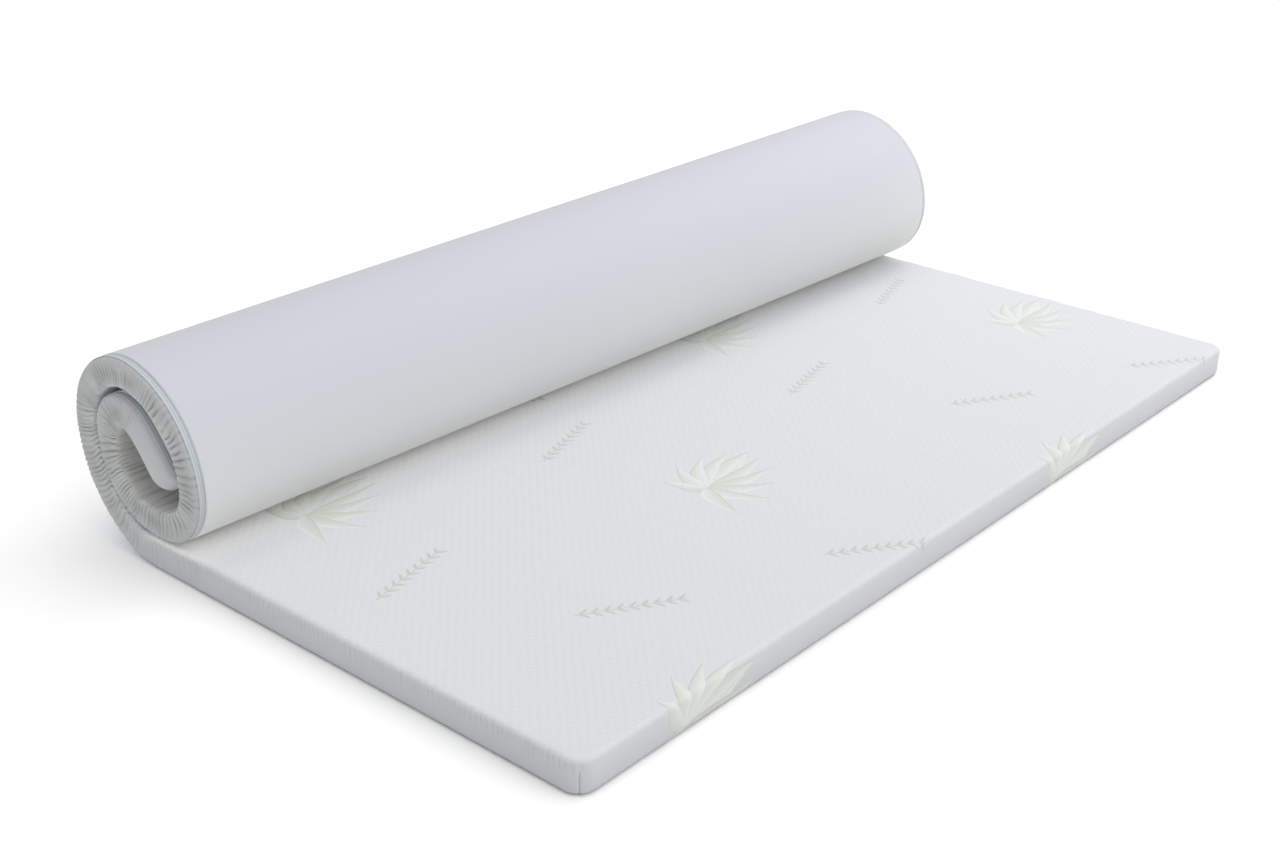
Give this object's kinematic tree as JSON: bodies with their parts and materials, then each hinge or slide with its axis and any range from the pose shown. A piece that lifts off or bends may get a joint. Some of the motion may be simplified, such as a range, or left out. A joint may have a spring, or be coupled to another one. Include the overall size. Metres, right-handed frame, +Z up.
{
  "type": "mattress topper",
  "caption": "Soft padded mattress topper with a knit top and a smooth base cloth, rolled up from one end and resting on its flat part.",
  "frame": {"origin": "on the floor, under the centre of the object's bounding box", "axes": "+X across the topper, along the axis of the roll; +Y from the flat end towards the roll; +Z up"},
  "size_m": [1.8, 1.0202, 0.3516],
  "materials": {
    "knit": "matte",
    "base_cloth": "smooth",
    "edge_tape": "woven"
  },
  "bodies": {
    "root": {"filled_body": "knit", "base_cloth": "base_cloth", "edge_tape": "edge_tape"}
  },
  "joints": []
}
